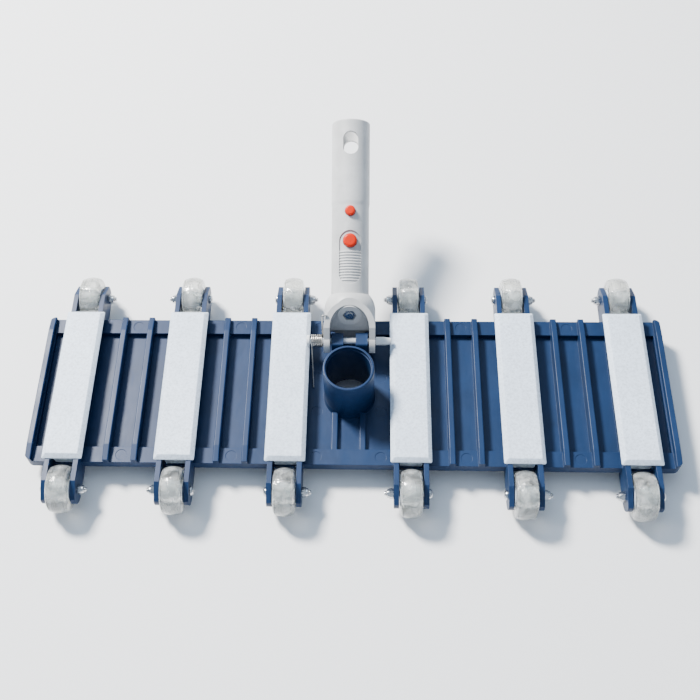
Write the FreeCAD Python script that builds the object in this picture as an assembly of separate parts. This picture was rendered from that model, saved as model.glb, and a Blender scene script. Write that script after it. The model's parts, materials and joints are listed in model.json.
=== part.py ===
import FreeCAD, Part

import math
import os

V = FreeCAD.Vector

# Manual vacuum head for a pool: a flexible deck on twelve wheels, six weights across it,
# a suction tube in its middle and a spring-loaded handle that hinges behind the tube.
#
# Frame: +X to the right along the deck, +Y to the rear, where the handle is, and +Z up.
# The pieces are drawn from the middle of the deck's top face (x 0, y 0, z 0), and saved
# about the centre of the suction tube's mouth. Millimetres.

# ---- deck ------------------------------------------------------------------------------
DECK_WIDTH = 484.0
DECK_DEPTH = 125.0
DECK_CORNER_R = 5.0
FLANGE_DEPTH = 12.5          # raised band along the front and rear edges
END_FLANGE = 5.7             # raised band along the two ends
FLOOR_DROP = 4.5             # recessed floor below the raised bands
FLOOR_THICKNESS = 3.0
SKIRT_DROP = 8.1             # lower edge of the skirt below the raised bands
SKIRT_WALL = 3.0
CHANNEL_Y = 20.5             # two long ribs under the floor, each side of the middle
CHANNEL_RIB_THICKNESS = 3.0
CHANNEL_RIB_DROP = 13.0      # lower edge of those ribs

# ---- stiffening ribs on the deck ---------------------------------------------------------
RIB_THICKNESS = 4.6
RIB_RISE = 5.4
RIB_END_DROP = 1.4           # how far a rib's top falls away over the front and rear bands
RIB_PAIR_SPACING = 21.3
END_RIB_INSET = 0.4
CENTRE_RIB_X = 10.5
CENTRE_RIB_THICKNESS = 4.8
RIB_EDGE_R = 0.8
EJECTOR_MARK_R = 4.2
EJECTOR_MARK_DEPTH = 0.25

# ---- bars: a weight between two rails, with a wheel at each end --------------------------
BAR_X = (46.2, 128.1, 211.8)   # the same on both sides of the middle
RAIL_GAP = 18.0
RAIL_THICKNESS = 3.7
RAIL_TOP = 8.7
RAIL_NOSE_R = 10.7
RAIL_FLAT_PAST_DECK = 19.0
RAIL_NOSE_TOP_DROP = 7.2
RAIL_LIFT_RUN = 7.0

# ---- wheels ------------------------------------------------------------------------------
WHEEL_R = 17.85
TYRE_WIDTH = 16.0
TYRE_SIDE_R = 12.6
AXLE_PAST_DECK = 21.35       # from the deck's edge out to the wheel's axis
AXLE_DROP = 1.9
HUB_R = 6.8
HUB_WIDTH = 17.0
HUB_RIM_R = 8.6
HUB_RIM_WIDTH = 1.2
BOLT_R = 2.0
BOLT_HEAD_R = 3.7
BOLT_HEAD_H = 2.5
NUT_AF = 7.0
NUT_H = 5.0
THREAD_PAST_NUT = 1.9

# ---- weights -----------------------------------------------------------------------------
WEIGHT_WIDTH = 30.2
WEIGHT_PAST_DECK = 1.75      # how far a weight's cap reaches over the front and rear edges
WEIGHT_BEVEL = 3.0
WEIGHT_LIP = 0.7
WEIGHT_CAP_H = 3.5
WEIGHT_CORNER_R = 1.2
BLOCK_DRAFT = 0.5
BLOCK_CLEARANCE = 0.3
BLOCK_SHORTER = 1.0          # block's end inside the deck's edge
WEIGHT_SCREW_Y = 40.0
WEIGHT_SCREW_R = 2.0
WEIGHT_SCREW_DEPTH = 9.0
WEIGHT_SCREW_HEAD_R = 3.8
WEIGHT_SCREW_HEAD_H = 2.4

# ---- suction tube ------------------------------------------------------------------------
TUBE_R = 19.05
TUBE_BORE_R = 16.65
TUBE_RISE = 39.75
TUBE_Y = -2.7
TUBE_FOOT_EXTRA = 0.8        # how much fuller the tube is at the floor
TUBE_FOOT_RISE = 4.7
MOUTH_STEP_R = 17.3
MOUTH_STEP_DEPTH = 3.2
RIM_ROUND = 0.8

# ---- handle hinge ------------------------------------------------------------------------
PIN_Y = 34.3
PIN_Z = 16.0
PIN_R = 2.4
PIN_HEAD_R = 4.5
PIN_HEAD_X = -33.3
PIN_HEAD_THICKNESS = 2.6
PIN_BARB_R = 3.2
PIN_BARB_END_X = 31.9
PIN_SLOT = 1.1
LUG_INNER_X = 4.7
LUG_OUTER_X = 13.9
LUG_FRONT = 6.9              # lug's faces in front of and behind the pin's axis
LUG_REAR = 4.7
LUG_OVER_PIN = 5.0
LUG_ROUND = 1.6
REST_ANGLE = 25.0            # handle above the horizontal when it lies back

# ---- yoke (w runs along the handle from the pin, v stands out from its front) -----------
YOKE_ARM_INNER_X = 15.05
YOKE_ARM_THICKNESS = 4.65
YOKE_ARM_END_R = 9.3
YOKE_ARM_HALF_DEPTH = 12.6
YOKE_FRONT_LEAN = 5.2        # how much further out the front face is at the arch's top
ARCH_CENTRE_W = 8.5
ARCH_TOP_W = 25.6
ARCH_RIM = 3.9
SHOULDER_START_W = 22.6
SHOULDER_END_W = 35.3
SHOULDER_LIP = 0.8
WEB_THICKNESS = 3.6
WEB_FOOT_W = 8.5
WEB_FOOT_V = -2.0
WEB_HEAD_V = 17.0
BOSS_R = 9.2
BOSS_RISE = 1.1
BOSS_ALONG = 0.62            # boss's place along the web, from its foot to its head
YOKE_SCREW_R = 2.5
YOKE_SCREW_HEAD_AF = 7.6
YOKE_SCREW_HEAD_H = 2.4
YOKE_SCREW_LENGTH = 15.0
YOKE_SCREW_SINK = 2.0        # the head's seat below the web's face
HEX_POCKET_AF = 9.4

# ---- handle tube -------------------------------------------------------------------------
GRIP_R = 14.55               # the stretch with the buttons and the grip
POLE_STEP = 0.35             # how much fuller the end is, which a pole slides over first
GRIP_R_END_W = 104.5
GRIP_R_RUN = 3.0             # length of the cone between those two
HANDLE_WALL = 2.8
HANDLE_END_W = 172.5
HANDLE_END_ROUND = 1.2
FOOT_PLUG_W = 40.0           # the tube is solid up to here
GRIP_START_W = 42.3
GRIP_END_W = 84.2
GRIP_HALF_WIDTH = 8.3
GRIP_DEPTH = 1.0
GRIP_RIB_START_W = 45.6
GRIP_RIB_PITCH = 2.2
GRIP_RIBS = 11
GRIP_RIB_RISE = 0.7
SLOT_START_W = 144.2
SLOT_END_W = 162.5
SLOT_WIDTH = 11.6

# ---- pole latch --------------------------------------------------------------------------
RELEASE_W = 76.2
RELEASE_R = 5.3
RELEASE_RISE = 3.0
LOCK_W = 99.3
LOCK_R = 3.9
LOCK_RISE = 3.0
BUTTON_FLANGE = 1.3
BUTTON_FLANGE_H = 1.0
LEAF_W = 50.0                # the leaf's free length starts here
LEAF_LEDGE_V = 3.4
LEAF_WIDTH = 8.0
LEAF_THICKNESS = 0.6
LEAF_TIP_PAST_LOCK = 5.5
RIVET_R = 1.5
RIVET_HEAD_R = 2.6
RIVET_HEAD_H = 1.0
RIVET_DEPTH = 3.5

# ---- torsion spring ----------------------------------------------------------------------
WIRE_R = 0.6
COIL_R = 4.4
COIL_WHOLE_TURNS = 6
COIL_END_GAP = 0.5
LOWER_LEG_Y = 4.4
LOWER_LEG_SPLAY = 1.9
HOOK_W = 17.5
HOOK_REACH = 4.2

# ---- clearances --------------------------------------------------------------------------
BOLT_FIT = 0.05              # radial: bolts and pins in their holes
PIN_FIT = 0.08               # radial: hinge pin in the yoke
SEAT_GAP = 0.05              # pieces seated in each other on one body
BUTTON_FIT = 0.3             # radial: buttons in the handle tube
BUTTON_STOP_GAP = 0.1
SPRING_GAP = 0.3             # spring's wire from the yoke

# ---- what follows from the sizes above ---------------------------------------------------
BARS = [-x for x in reversed(BAR_X)] + list(BAR_X)
ROWS = {"front": -1, "rear": 1}
EDGE_Y = DECK_DEPTH / 2
END_X = DECK_WIDTH / 2
AXLE_Y = EDGE_Y + AXLE_PAST_DECK
RAIL_OUTER = RAIL_GAP / 2 + RAIL_THICKNESS
FLOOR_Z = -FLOOR_DROP
FLOOR_UNDER_Z = FLOOR_Z - FLOOR_THICKNESS
YOKE_R = YOKE_ARM_INNER_X + YOKE_ARM_THICKNESS
WEIGHT_LENGTH = DECK_DEPTH + 2 * WEIGHT_PAST_DECK
HANDLE_R = GRIP_R + POLE_STEP
HANDLE_BORE_R = GRIP_R - HANDLE_WALL


def box(x0, x1, y0, y1, z0, z1):
    return Part.makeBox(x1 - x0, y1 - y0, z1 - z0, V(x0, y0, z0))


def cylinder(radius, length, base, along):
    return Part.makeCylinder(radius, length, base, along)


def fuse(shapes):
    first, *others = shapes
    return first.fuse(others).removeSplitter() if others else first


def face_of(points, plane):
    """A flat face through points (a, b); plane turns each into a vector."""
    corners = [plane(a, b) for a, b in points]
    return Part.Face(Part.makePolygon(corners + corners[:1]))


def plate_x(points, x0, x1):
    """An outline of (y, z) points, solid from x0 to x1."""
    return face_of(points, lambda y, z: V(x0, y, z)).extrude(V(x1 - x0, 0, 0))


def rounded_block(half_x, half_y, radius, z0, z1):
    block = box(-half_x, half_x, -half_y, half_y, z0, z1)
    corners = [e for e in block.Edges if abs(e.tangentAt(e.FirstParameter).z) > 0.99]
    return block.makeFillet(radius, corners)


def edges_at(shape, height, tolerance=0.01):
    """The edges whose two ends both lie at one height."""
    return [e for e in shape.Edges
            if all(abs(v.Point.z - height) < tolerance for v in e.Vertexes)]


def ring(outer, inner, length, base, along):
    return cylinder(outer, length, base, along).cut(cylinder(inner, length, base, along))


def hexagon(across_flats, length, base, along):
    """A hexagonal prism about an axis."""
    radius = across_flats / math.sqrt(3)
    corners = [V(radius * math.cos(k * math.pi / 3), radius * math.sin(k * math.pi / 3), 0)
               for k in range(6)]
    prism = Part.Face(Part.makePolygon(corners + corners[:1])).extrude(V(0, 0, length))
    prism.Placement = FreeCAD.Placement(base, FreeCAD.Rotation(V(0, 0, 1), along))
    return prism


def save(node, shape):
    """Write one node, moved from the deck's frame to the suction tube's mouth."""
    moved = shape.copy()
    moved.translate(V(0, -TUBE_Y, -TUBE_RISE))
    moved.exportStep("parts/%s.step" % node)


# ---- deck --------------------------------------------------------------------------------

def deck_tray():
    """The plate: raised bands round a recessed floor, hollow underneath."""
    tray = rounded_block(END_X, EDGE_Y, DECK_CORNER_R, -SKIRT_DROP, 0)
    pocket_x = END_X - END_FLANGE
    pocket_y = EDGE_Y - FLANGE_DEPTH
    tray = tray.cut(box(-pocket_x, pocket_x, -pocket_y, pocket_y, FLOOR_Z, 1))
    wall = SKIRT_WALL
    tray = tray.cut(rounded_block(END_X - wall, EDGE_Y - wall, DECK_CORNER_R - wall,
                                  -SKIRT_DROP - 1, FLOOR_UNDER_Z))
    for side in ROWS.values():
        inner, outer = sorted((side * (pocket_y + wall), side * (EDGE_Y - wall)))
        tray = tray.cut(box(-END_X + wall + 2, END_X - wall - 2, inner, outer,
                            -SKIRT_DROP - 1, -FLOOR_THICKNESS))
    return tray


def deck_rib(x, half_length):
    """One tall rib across the deck, with rounded upper edges."""
    band = FLANGE_DEPTH
    points = [(-half_length, FLOOR_Z), (half_length, FLOOR_Z),
              (half_length, RIB_RISE - RIB_END_DROP), (half_length - band, RIB_RISE),
              (band - half_length, RIB_RISE), (-half_length, RIB_RISE - RIB_END_DROP)]
    rib = plate_x(points, x - RIB_THICKNESS / 2, x + RIB_THICKNESS / 2)
    upper = [e for e in rib.Edges if abs(e.tangentAt(e.FirstParameter).x) < 0.01
             and min(v.Point.z for v in e.Vertexes) > 0]
    long_upper = [e for e in upper if abs(e.tangentAt(e.FirstParameter).y) > 0.5]
    return rib.makeFillet(RIB_EDGE_R, long_upper)


def rib_places():
    """Middles of the tall ribs: a pair between neighbouring bars, none in the centre bay."""
    places = []
    for inner, outer in zip(BAR_X, BAR_X[1:]):
        middle = (inner + outer) / 2
        for offset in (-RIB_PAIR_SPACING / 2, RIB_PAIR_SPACING / 2):
            places += [middle + offset, -middle - offset]
    return places


def rail(x0, x1):
    """One rail: straight under the weight, with a rounded nose about each axle."""
    flat_y = EDGE_Y + RAIL_FLAT_PAST_DECK
    nose_z = RAIL_TOP - RAIL_NOSE_TOP_DROP
    rise = nose_z + AXLE_DROP
    nose_y = AXLE_Y + math.sqrt(RAIL_NOSE_R ** 2 - rise ** 2)
    low_z = -AXLE_DROP - RAIL_NOSE_R
    lift_y = EDGE_Y - RAIL_LIFT_RUN
    middle = -math.pi / 4 + math.asin(rise / RAIL_NOSE_R) / 2

    def point(side, y, z):
        return V(x0, side * y, z)

    def nose(side):
        through = point(side, AXLE_Y + RAIL_NOSE_R * math.cos(middle),
                        -AXLE_DROP + RAIL_NOSE_R * math.sin(middle))
        return [
            Part.LineSegment(point(side, 0, RAIL_TOP), point(side, flat_y, RAIL_TOP)),
            Part.LineSegment(point(side, flat_y, RAIL_TOP), point(side, nose_y, nose_z)),
            Part.Arc(point(side, nose_y, nose_z), through, point(side, AXLE_Y, low_z)),
            Part.LineSegment(point(side, AXLE_Y, low_z), point(side, EDGE_Y, low_z)),
            Part.LineSegment(point(side, EDGE_Y, low_z), point(side, lift_y, -SKIRT_DROP)),
            Part.LineSegment(point(side, lift_y, -SKIRT_DROP), point(side, 0, -SKIRT_DROP)),
        ]

    edges = [curve.toShape() for side in ROWS.values() for curve in nose(side)]
    wire = Part.Wire(Part.__sortEdges__(edges))
    return Part.Face(wire).extrude(V(x1 - x0, 0, 0))


def centre_ribs():
    """Two low ribs from the suction tube forward to the front band."""
    ribs = []
    for side in (-1, 1):
        x = side * CENTRE_RIB_X
        rib = box(x - CENTRE_RIB_THICKNESS / 2, x + CENTRE_RIB_THICKNESS / 2,
                  -EDGE_Y + FLANGE_DEPTH - 1, TUBE_Y - TUBE_BORE_R, FLOOR_Z, 0)
        long_upper = [e for e in edges_at(rib, 0) if e.Length > CENTRE_RIB_THICKNESS + 1]
        ribs.append(rib.makeFillet(RIB_EDGE_R, long_upper))
    return ribs


def suction_tube():
    """The tube's outside with a slightly coned foot; the bore is cut later."""
    foot_r = TUBE_R + TUBE_FOOT_EXTRA
    foot_z = FLOOR_Z + TUBE_FOOT_RISE
    foot = [
        Part.LineSegment(V(0, 0, -SKIRT_DROP), V(foot_r, 0, -SKIRT_DROP)),
        Part.LineSegment(V(foot_r, 0, -SKIRT_DROP), V(foot_r, 0, FLOOR_Z)),
        Part.LineSegment(V(foot_r, 0, FLOOR_Z), V(TUBE_R, 0, foot_z)),
        Part.LineSegment(V(TUBE_R, 0, foot_z), V(TUBE_R, 0, TUBE_RISE - RIM_ROUND)),
        Part.Arc(V(TUBE_R, 0, TUBE_RISE - RIM_ROUND),
                 V(TUBE_R - RIM_ROUND * (1 - math.sqrt(0.5)), 0,
                   TUBE_RISE - RIM_ROUND * (1 - math.sqrt(0.5))),
                 V(TUBE_R - RIM_ROUND, 0, TUBE_RISE)),
        Part.LineSegment(V(TUBE_R - RIM_ROUND, 0, TUBE_RISE), V(0, 0, TUBE_RISE)),
        Part.LineSegment(V(0, 0, TUBE_RISE), V(0, 0, -SKIRT_DROP)),
    ]
    face = Part.Face(Part.Wire([curve.toShape() for curve in foot]))
    tube = face.revolve(V(0, 0, 0), V(0, 0, 1), 360)
    tube.translate(V(0, TUBE_Y, 0))
    return tube


def suction_bore():
    bore = cylinder(TUBE_BORE_R, TUBE_RISE + SKIRT_DROP + 2, V(0, TUBE_Y, -SKIRT_DROP - 1), V(0, 0, 1))
    step = cylinder(MOUTH_STEP_R, MOUTH_STEP_DEPTH + 1,
                    V(0, TUBE_Y, TUBE_RISE - MOUTH_STEP_DEPTH), V(0, 0, 1))
    return bore.fuse(step)


def hinge_lug(side):
    """One of the two lugs that carry the hinge pin."""
    x0, x1 = sorted((side * LUG_INNER_X, side * LUG_OUTER_X))
    lug = box(x0, x1, PIN_Y - LUG_FRONT, PIN_Y + LUG_REAR, FLOOR_Z, PIN_Z + LUG_OVER_PIN)
    top = [e for e in edges_at(lug, PIN_Z + LUG_OVER_PIN)
           if abs(e.tangentAt(e.FirstParameter).x) > 0.9]
    return lug.makeFillet(LUG_ROUND, top)


def ejector_marks():
    """Shallow round marks that a mould's pins leave on the bands and the floor."""
    marks = []
    band_y = EDGE_Y - FLANGE_DEPTH / 2
    bays = [(a + b) / 2 for a, b in zip(BAR_X, BAR_X[1:])]
    for x in [s * b for b in bays for s in (-1, 1)] + [-24.0, 24.0]:
        for side in ROWS.values():
            marks.append((x, side * band_y, 0))
    for x in (-24.6, 24.6):
        marks += [(x, 13.5, FLOOR_Z), (x, -16.2, FLOOR_Z)]
    return [cylinder(EJECTOR_MARK_R, EJECTOR_MARK_DEPTH + 1,
                     V(x, y, z - EJECTOR_MARK_DEPTH), V(0, 0, 1)) for x, y, z in marks]


def deck():
    """The one-piece moulding: tray, ribs, rails with forks, tube and hinge lugs."""
    tray = deck_tray()
    half = RAIL_GAP / 2
    for x in BARS:
        tray = tray.cut(box(x - half, x + half, -EDGE_Y - 1, EDGE_Y + 1, FLOOR_Z, 1))
    tray = tray.cut(Part.makeCompound(ejector_marks()))
    added = [box(x - half, x + half, -EDGE_Y, EDGE_Y, FLOOR_UNDER_Z, FLOOR_Z) for x in BARS]
    added += [deck_rib(x, EDGE_Y) for x in rib_places()]
    outline = rounded_block(END_X, EDGE_Y, DECK_CORNER_R, -SKIRT_DROP, RIB_RISE + 1)
    end_x = END_X - END_RIB_INSET - RIB_THICKNESS / 2
    added += [deck_rib(s * end_x, EDGE_Y).common(outline) for s in (-1, 1)]
    for x in BARS:
        for s in (-1, 1):
            inner, outer = sorted((x + s * half, x + s * RAIL_OUTER))
            added.append(rail(inner, outer))
    for s in (-1, 1):
        y = s * CHANNEL_Y
        added.append(box(-END_X + SKIRT_WALL, END_X - SKIRT_WALL,
                         y - CHANNEL_RIB_THICKNESS / 2, y + CHANNEL_RIB_THICKNESS / 2,
                         -CHANNEL_RIB_DROP, FLOOR_UNDER_Z))
    added += centre_ribs() + [suction_tube(), hinge_lug(-1), hinge_lug(1)]
    body = tray.fuse(added)
    holes = [suction_bore(), cylinder(PIN_R + BOLT_FIT, 2 * YOKE_R, V(-YOKE_R, PIN_Y, PIN_Z), V(1, 0, 0))]
    for x in BARS:
        for side in ROWS.values():
            holes.append(cylinder(BOLT_R + BOLT_FIT, 2 * RAIL_OUTER + 2,
                                  V(x - RAIL_OUTER - 1, side * AXLE_Y, -AXLE_DROP), V(1, 0, 0)))
            holes.append(cylinder(WEIGHT_SCREW_R + BOLT_FIT, SKIRT_DROP,
                                  V(x, side * WEIGHT_SCREW_Y, -SKIRT_DROP - 1), V(0, 0, 1)))
    return body.cut(Part.makeCompound(holes)).removeSplitter()


# ---- weights -----------------------------------------------------------------------------

def weight(x):
    """A bevelled cap on the rails, with a block that hangs between them."""
    half_x = WEIGHT_WIDTH / 2
    half_y = WEIGHT_LENGTH / 2
    cap = rounded_block(half_x, half_y, WEIGHT_CORNER_R, RAIL_TOP, RAIL_TOP + WEIGHT_LIP)
    lip_top = RAIL_TOP + WEIGHT_LIP
    cap_top = RAIL_TOP + WEIGHT_CAP_H

    def outline(inset, z):
        a, b = half_x - inset, half_y - inset
        return Part.makePolygon([V(-a, -b, z), V(a, -b, z), V(a, b, z), V(-a, b, z), V(-a, -b, z)])

    crown = Part.makeLoft([outline(0, lip_top), outline(WEIGHT_BEVEL, cap_top)], True, True)
    outer = rounded_block(half_x, half_y, WEIGHT_CORNER_R, lip_top, cap_top)
    crown = crown.common(outer)

    block_x = RAIL_GAP / 2 - BLOCK_CLEARANCE
    block_y = EDGE_Y - BLOCK_SHORTER
    foot_x = block_x - BLOCK_DRAFT
    foot_y = block_y - BLOCK_DRAFT

    def section(a, b, z):
        return Part.makePolygon([V(-a, -b, z), V(a, -b, z), V(a, b, z), V(-a, b, z), V(-a, -b, z)])

    block = Part.makeLoft([section(foot_x, foot_y, FLOOR_Z), section(block_x, block_y, RAIL_TOP)],
                          True, True)
    body = fuse([cap, crown, block])
    for side in ROWS.values():
        body = body.cut(cylinder(WEIGHT_SCREW_R + BOLT_FIT, WEIGHT_SCREW_DEPTH + 1,
                                 V(0, side * WEIGHT_SCREW_Y, FLOOR_Z - 0.5), V(0, 0, 1)))
    body.translate(V(x, 0, 0))
    return body


def weight_screw(x, y):
    """A pan-head screw up through the floor into a weight."""
    seat = V(x, y, FLOOR_UNDER_Z)
    shank = cylinder(WEIGHT_SCREW_R, FLOOR_THICKNESS + WEIGHT_SCREW_DEPTH, seat, V(0, 0, 1))
    head = cylinder(WEIGHT_SCREW_HEAD_R, WEIGHT_SCREW_HEAD_H, seat, V(0, 0, -1))
    low = edges_at(head, FLOOR_UNDER_Z - WEIGHT_SCREW_HEAD_H)
    head = head.makeFillet(WEIGHT_SCREW_HEAD_H / 3, low)
    return fuse([shank, head])


# ---- wheels ------------------------------------------------------------------------------

def turned(profile):
    """A ring turned about X from an outline of (x, r) lines and arcs in the x-z plane."""
    return Part.Face(Part.Wire([c.toShape() for c in profile])).revolve(V(0, 0, 0), V(1, 0, 0), 360)


def tyre():
    """Round-shouldered tyre about the X axis."""
    half = TYRE_WIDTH / 2
    bore = HUB_R + SEAT_GAP
    seat_r = HUB_RIM_R + SEAT_GAP
    seat_x = HUB_WIDTH / 2 - HUB_RIM_WIDTH - SEAT_GAP
    return turned([
        Part.LineSegment(V(-seat_x, 0, bore), V(-seat_x, 0, seat_r)),
        Part.LineSegment(V(-seat_x, 0, seat_r), V(-half, 0, seat_r)),
        Part.LineSegment(V(-half, 0, seat_r), V(-half, 0, TYRE_SIDE_R)),
        Part.Arc(V(-half, 0, TYRE_SIDE_R), V(0, 0, WHEEL_R), V(half, 0, TYRE_SIDE_R)),
        Part.LineSegment(V(half, 0, TYRE_SIDE_R), V(half, 0, seat_r)),
        Part.LineSegment(V(half, 0, seat_r), V(seat_x, 0, seat_r)),
        Part.LineSegment(V(seat_x, 0, seat_r), V(seat_x, 0, bore)),
        Part.LineSegment(V(seat_x, 0, bore), V(-seat_x, 0, bore)),
    ])


def hub():
    """Flanged bush that the tyre is moulded round."""
    half = HUB_WIDTH / 2
    body = ring(HUB_R, BOLT_R + BOLT_FIT, HUB_WIDTH, V(-half, 0, 0), V(1, 0, 0))
    for x in (-half, half - HUB_RIM_WIDTH):
        body = body.fuse(ring(HUB_RIM_R, BOLT_R + BOLT_FIT, HUB_RIM_WIDTH, V(x, 0, 0), V(1, 0, 0)))
    return body.removeSplitter()


def axle_bolt(side):
    """Wheel bolt along X; its head is on the given side, its thread on the other."""
    along = V(-side, 0, 0)
    head_seat = V(side * RAIL_OUTER, 0, 0)
    shank = cylinder(BOLT_R, 2 * RAIL_OUTER + NUT_H + THREAD_PAST_NUT, head_seat, along)
    shank = shank.makeChamfer(BOLT_R / 4, [e for e in shank.Edges
                                           if e.BoundBox.XLength < 0.01
                                           and abs(e.BoundBox.XMin - head_seat.x) > 1])
    head = cylinder(BOLT_HEAD_R, BOLT_HEAD_H, head_seat, V(side, 0, 0))
    crown = [e for e in head.Edges if e.BoundBox.XLength < 0.01
             and abs(e.BoundBox.XMin - head_seat.x) > 1]
    head = head.makeFillet(BOLT_HEAD_H * 0.6, crown)
    return fuse([shank, head])


def axle_nut(side):
    """Locking nut: hexagon with a round collar, on the side away from the bolt's head."""
    along = V(-side, 0, 0)
    seat = V(-side * RAIL_OUTER, 0, 0)
    hexagonal = NUT_H * 0.66
    nut = hexagon(NUT_AF, hexagonal, seat, along)
    rounding = Part.makeCone(NUT_AF / 2 + 2.2, NUT_AF / 2 - 0.2, NUT_H, seat, along)
    nut = nut.common(rounding)
    collar = cylinder(NUT_AF / 2 - 0.3, NUT_H, seat, along)
    collar = collar.makeFillet(0.7, [e for e in collar.Edges if e.BoundBox.XLength < 0.01
                                     and abs(e.BoundBox.XMin - seat.x) > 1])
    return fuse([nut, collar]).cut(cylinder(BOLT_R + BOLT_FIT, NUT_H + 2, seat - along, along))


# ---- hinge pin and torsion spring --------------------------------------------------------

def hinge_pin():
    """Snap-in pin: flanged head at one end, split barb at the other."""
    barb_start = YOKE_R + 0.5
    shaft = cylinder(PIN_R, PIN_BARB_END_X - PIN_HEAD_X - 2, V(PIN_HEAD_X + 1, PIN_Y, PIN_Z), V(1, 0, 0))
    head = cylinder(PIN_HEAD_R, PIN_HEAD_THICKNESS, V(PIN_HEAD_X, PIN_Y, PIN_Z), V(1, 0, 0))
    head = head.makeFillet(0.6, [e for e in head.Edges if e.BoundBox.XLength < 0.01])
    taper = (PIN_BARB_END_X - barb_start) * 0.45
    barb = cylinder(PIN_BARB_R, PIN_BARB_END_X - barb_start - taper, V(barb_start, PIN_Y, PIN_Z), V(1, 0, 0))
    point = Part.makeCone(PIN_BARB_R, PIN_R, taper,
                          V(PIN_BARB_END_X - taper, PIN_Y, PIN_Z), V(1, 0, 0))
    pin = fuse([shaft, head, barb, point])
    slot = box(barb_start + 1.5, PIN_BARB_END_X + 1, PIN_Y - PIN_R * 2, PIN_Y + PIN_R * 2,
               PIN_Z - PIN_SLOT / 2, PIN_Z + PIN_SLOT / 2)
    return pin.cut(slot)


def wire_run(points):
    """Round wire along straight runs, with ball joints between them."""
    pieces = []
    for start, end in zip(points, points[1:]):
        run = end - start
        pieces.append(cylinder(WIRE_R, run.Length, start, run))
    pieces += [Part.makeSphere(WIRE_R, p) for p in points]
    return pieces


def tangent_angle(y, z, leaving):
    """Angle about the pin where wire that turns from +Y to +Z runs straight to or from (y, z)."""
    dy, dz = y - PIN_Y, z - PIN_Z
    half = math.acos(COIL_R / math.hypot(dy, dz))
    return math.atan2(dz, dy) - half if leaving else math.atan2(dz, dy) + half


def coil_point(x, angle):
    return V(x, PIN_Y + COIL_R * math.cos(angle), PIN_Z + COIL_R * math.sin(angle))


def torsion_spring():
    """Coil on the pin beside the yoke: one leg on the deck, the other hooked over an arm."""
    start_x = PIN_HEAD_X + PIN_HEAD_THICKNESS + COIL_END_GAP + WIRE_R
    end_x = -YOKE_R - COIL_END_GAP - WIRE_R
    foot = V(start_x + LOWER_LEG_SPLAY, LOWER_LEG_Y, FLOOR_Z + WIRE_R + SEAT_GAP)
    arm_v = YOKE_ARM_HALF_DEPTH + HOOK_W * YOKE_FRONT_LEAN / (ARCH_TOP_W + ARCH_RIM)
    over = arm_v + SPRING_GAP + WIRE_R
    bend = from_handle(end_x, HOOK_W, over)
    tip = from_handle(end_x + HOOK_REACH, HOOK_W, over)

    first = tangent_angle(foot.y, foot.z, False)
    last = tangent_angle(bend.y, bend.z, True)
    part_turn = (last - first) / (2 * math.pi) % 1
    turns = COIL_WHOLE_TURNS + part_turn
    length = end_x - start_x
    helix = Part.makeHelix(length / turns, length, COIL_R)
    section = Part.makeCircle(WIRE_R, V(COIL_R, 0, 0), V(0, 2 * math.pi * COIL_R, length / turns))
    coil = Part.Wire(helix).makePipeShell([Part.Wire(section)], True, True)
    # the helix's axis turns from Z to X, and its start from +X to the first angle about X
    coil.rotate(V(0, 0, 0), V(0, 0, 1), -90)
    coil.rotate(V(0, 0, 0), V(0, 1, 0), 90)
    coil.rotate(V(0, 0, 0), V(1, 0, 0), math.degrees(first) + 90)
    coil.translate(V(start_x, PIN_Y, PIN_Z))
    legs = wire_run([coil_point(start_x, first), foot])
    legs += wire_run([coil_point(end_x, last), bend, tip])
    return fuse([coil] + legs)


# ---- handle: drawn upright on the pin, then laid back to its rest angle ------------------

def upright(x, w, v):
    """A point of the handle while it stands straight up on the pin."""
    return V(x, -v, w)


def lay_back(shape):
    laid = shape.copy()
    laid.rotate(V(0, 0, 0), V(1, 0, 0), REST_ANGLE - 90)
    laid.translate(V(0, PIN_Y, PIN_Z))
    return laid


def from_handle(x, w, v):
    """The same point of the handle once it is laid back."""
    angle = math.radians(REST_ANGLE)
    return V(x, PIN_Y + w * math.cos(angle) - v * math.sin(angle),
             PIN_Z + w * math.sin(angle) + v * math.cos(angle))


def arch(half_width, top_w, v0, v1):
    """A prism along v: straight sides up to the arch's centre, half an ellipse above."""
    low = -YOKE_ARM_END_R - 1
    rise = top_w - ARCH_CENTRE_W
    ellipse = Part.Ellipse(V(0, 0, 0), max(half_width, rise), min(half_width, rise))
    half_turn = Part.Arc(ellipse, 0, math.pi).toShape()
    if rise > half_width:
        half_turn = Part.Arc(ellipse, -math.pi / 2, math.pi / 2).toShape()
        half_turn.rotate(V(0, 0, 0), V(0, 0, 1), 90)
    half_turn.rotate(V(0, 0, 0), V(1, 0, 0), 90)
    half_turn.translate(V(0, -v0, ARCH_CENTRE_W))
    right, left = V(half_width, -v0, ARCH_CENTRE_W), V(-half_width, -v0, ARCH_CENTRE_W)
    sides = [Part.LineSegment(left, V(-half_width, -v0, low)).toShape(),
             Part.LineSegment(V(-half_width, -v0, low), V(half_width, -v0, low)).toShape(),
             Part.LineSegment(V(half_width, -v0, low), right).toShape()]
    wire = Part.Wire(Part.__sortEdges__([half_turn] + sides))
    return Part.Face(wire).extrude(V(0, v0 - v1, 0))


def web_normal():
    """Unit vector from the web's open side into the handle, as (w, v)."""
    run_w, run_v = ARCH_TOP_W - WEB_FOOT_W, WEB_HEAD_V - WEB_FOOT_V
    length = math.hypot(run_w, run_v)
    return run_v / length, -run_w / length


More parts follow.
